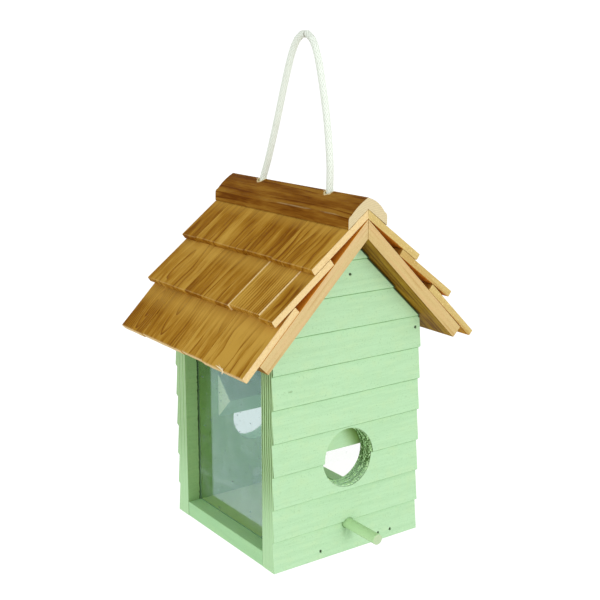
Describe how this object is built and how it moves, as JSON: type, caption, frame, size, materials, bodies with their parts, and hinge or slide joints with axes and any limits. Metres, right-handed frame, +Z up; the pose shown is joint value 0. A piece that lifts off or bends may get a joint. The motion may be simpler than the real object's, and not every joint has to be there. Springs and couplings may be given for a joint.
{
  "type": "hanging bird feeder",
  "caption": "Gabled wooden bird feeder with clapboard walls, clear side windows, round holes with perches, and a shingled roof that slides up its hanging rope.",
  "frame": {"origin": "centre of the house's underside, on the plane it stands on", "axes": "+Z up; the front gable with its hole and perch faces -Y; +X is to the right seen from the front"},
  "size_m": [0.2324, 0.232, 0.4248],
  "materials": {
    "painted_wood": "pale green brushed paint",
    "perch": "pale green paint, bare end",
    "window": "clear acrylic",
    "shingles": "golden brown stained cedar",
    "roof_boards": "light stained softwood",
    "ridge_cap": "darker stained cedar",
    "rope": "white braided cotton",
    "nails": "dull steel"
  },
  "bodies": {
    "house": {"back_bar_nail": "nails", "back_floor_nail_1": "nails", "back_floor_nail_2": "nails", "back_floor_nail_3": "nails", "back_knot": "rope", "back_left_rail_nail": "nails", "back_perch": "perch", "back_right_rail_nail": "nails", "back_seed_block": "painted_wood", "back_wall": "painted_wood", "floor_board": "painted_wood", "front_bar_nail": "nails", "front_floor_nail_1": "nails", "front_floor_nail_2": "nails", "front_floor_nail_3": "nails", "front_knot": "rope", "front_left_rail_nail": "nails", "front_perch": "perch", "front_right_rail_nail": "nails", "front_seed_block": "painted_wood", "front_wall": "painted_wood", "hanger_bar": "painted_wood", "left_top_rail": "painted_wood", "left_window": "window", "right_top_rail": "painted_wood", "right_window": "window", "rope": "rope"},
    "roof": {"left_roof_board": "roof_boards", "left_shingle_1_1": "shingles", "left_shingle_1_2": "shingles", "left_shingle_1_3": "shingles", "left_shingle_1_4": "shingles", "left_shingle_2_1": "shingles", "left_shingle_2_2": "shingles", "left_shingle_2_3": "shingles", "left_shingle_2_4": "shingles", "left_shingle_3_1": "shingles", "left_shingle_3_2": "shingles", "left_shingle_3_3": "shingles", "left_shingle_3_4": "shingles", "ridge_cap": "ridge_cap", "right_roof_board": "roof_boards", "right_shingle_1_1": "shingles", "right_shingle_1_2": "shingles", "right_shingle_1_3": "shingles", "right_shingle_1_4": "shingles", "right_shingle_2_1": "shingles", "right_shingle_2_2": "shingles", "right_shingle_2_3": "shingles", "right_shingle_2_4": "shingles", "right_shingle_3_1": "shingles", "right_shingle_3_2": "shingles", "right_shingle_3_3": "shingles", "right_shingle_3_4": "shingles"}
  },
  "joints": [
    {"name": "roof_lift", "type": "slide", "parent": "house", "child": "roof", "axis": [0, 0, 1], "range_m": [0, 0.08], "deforming": ["rope"]}
  ]
}
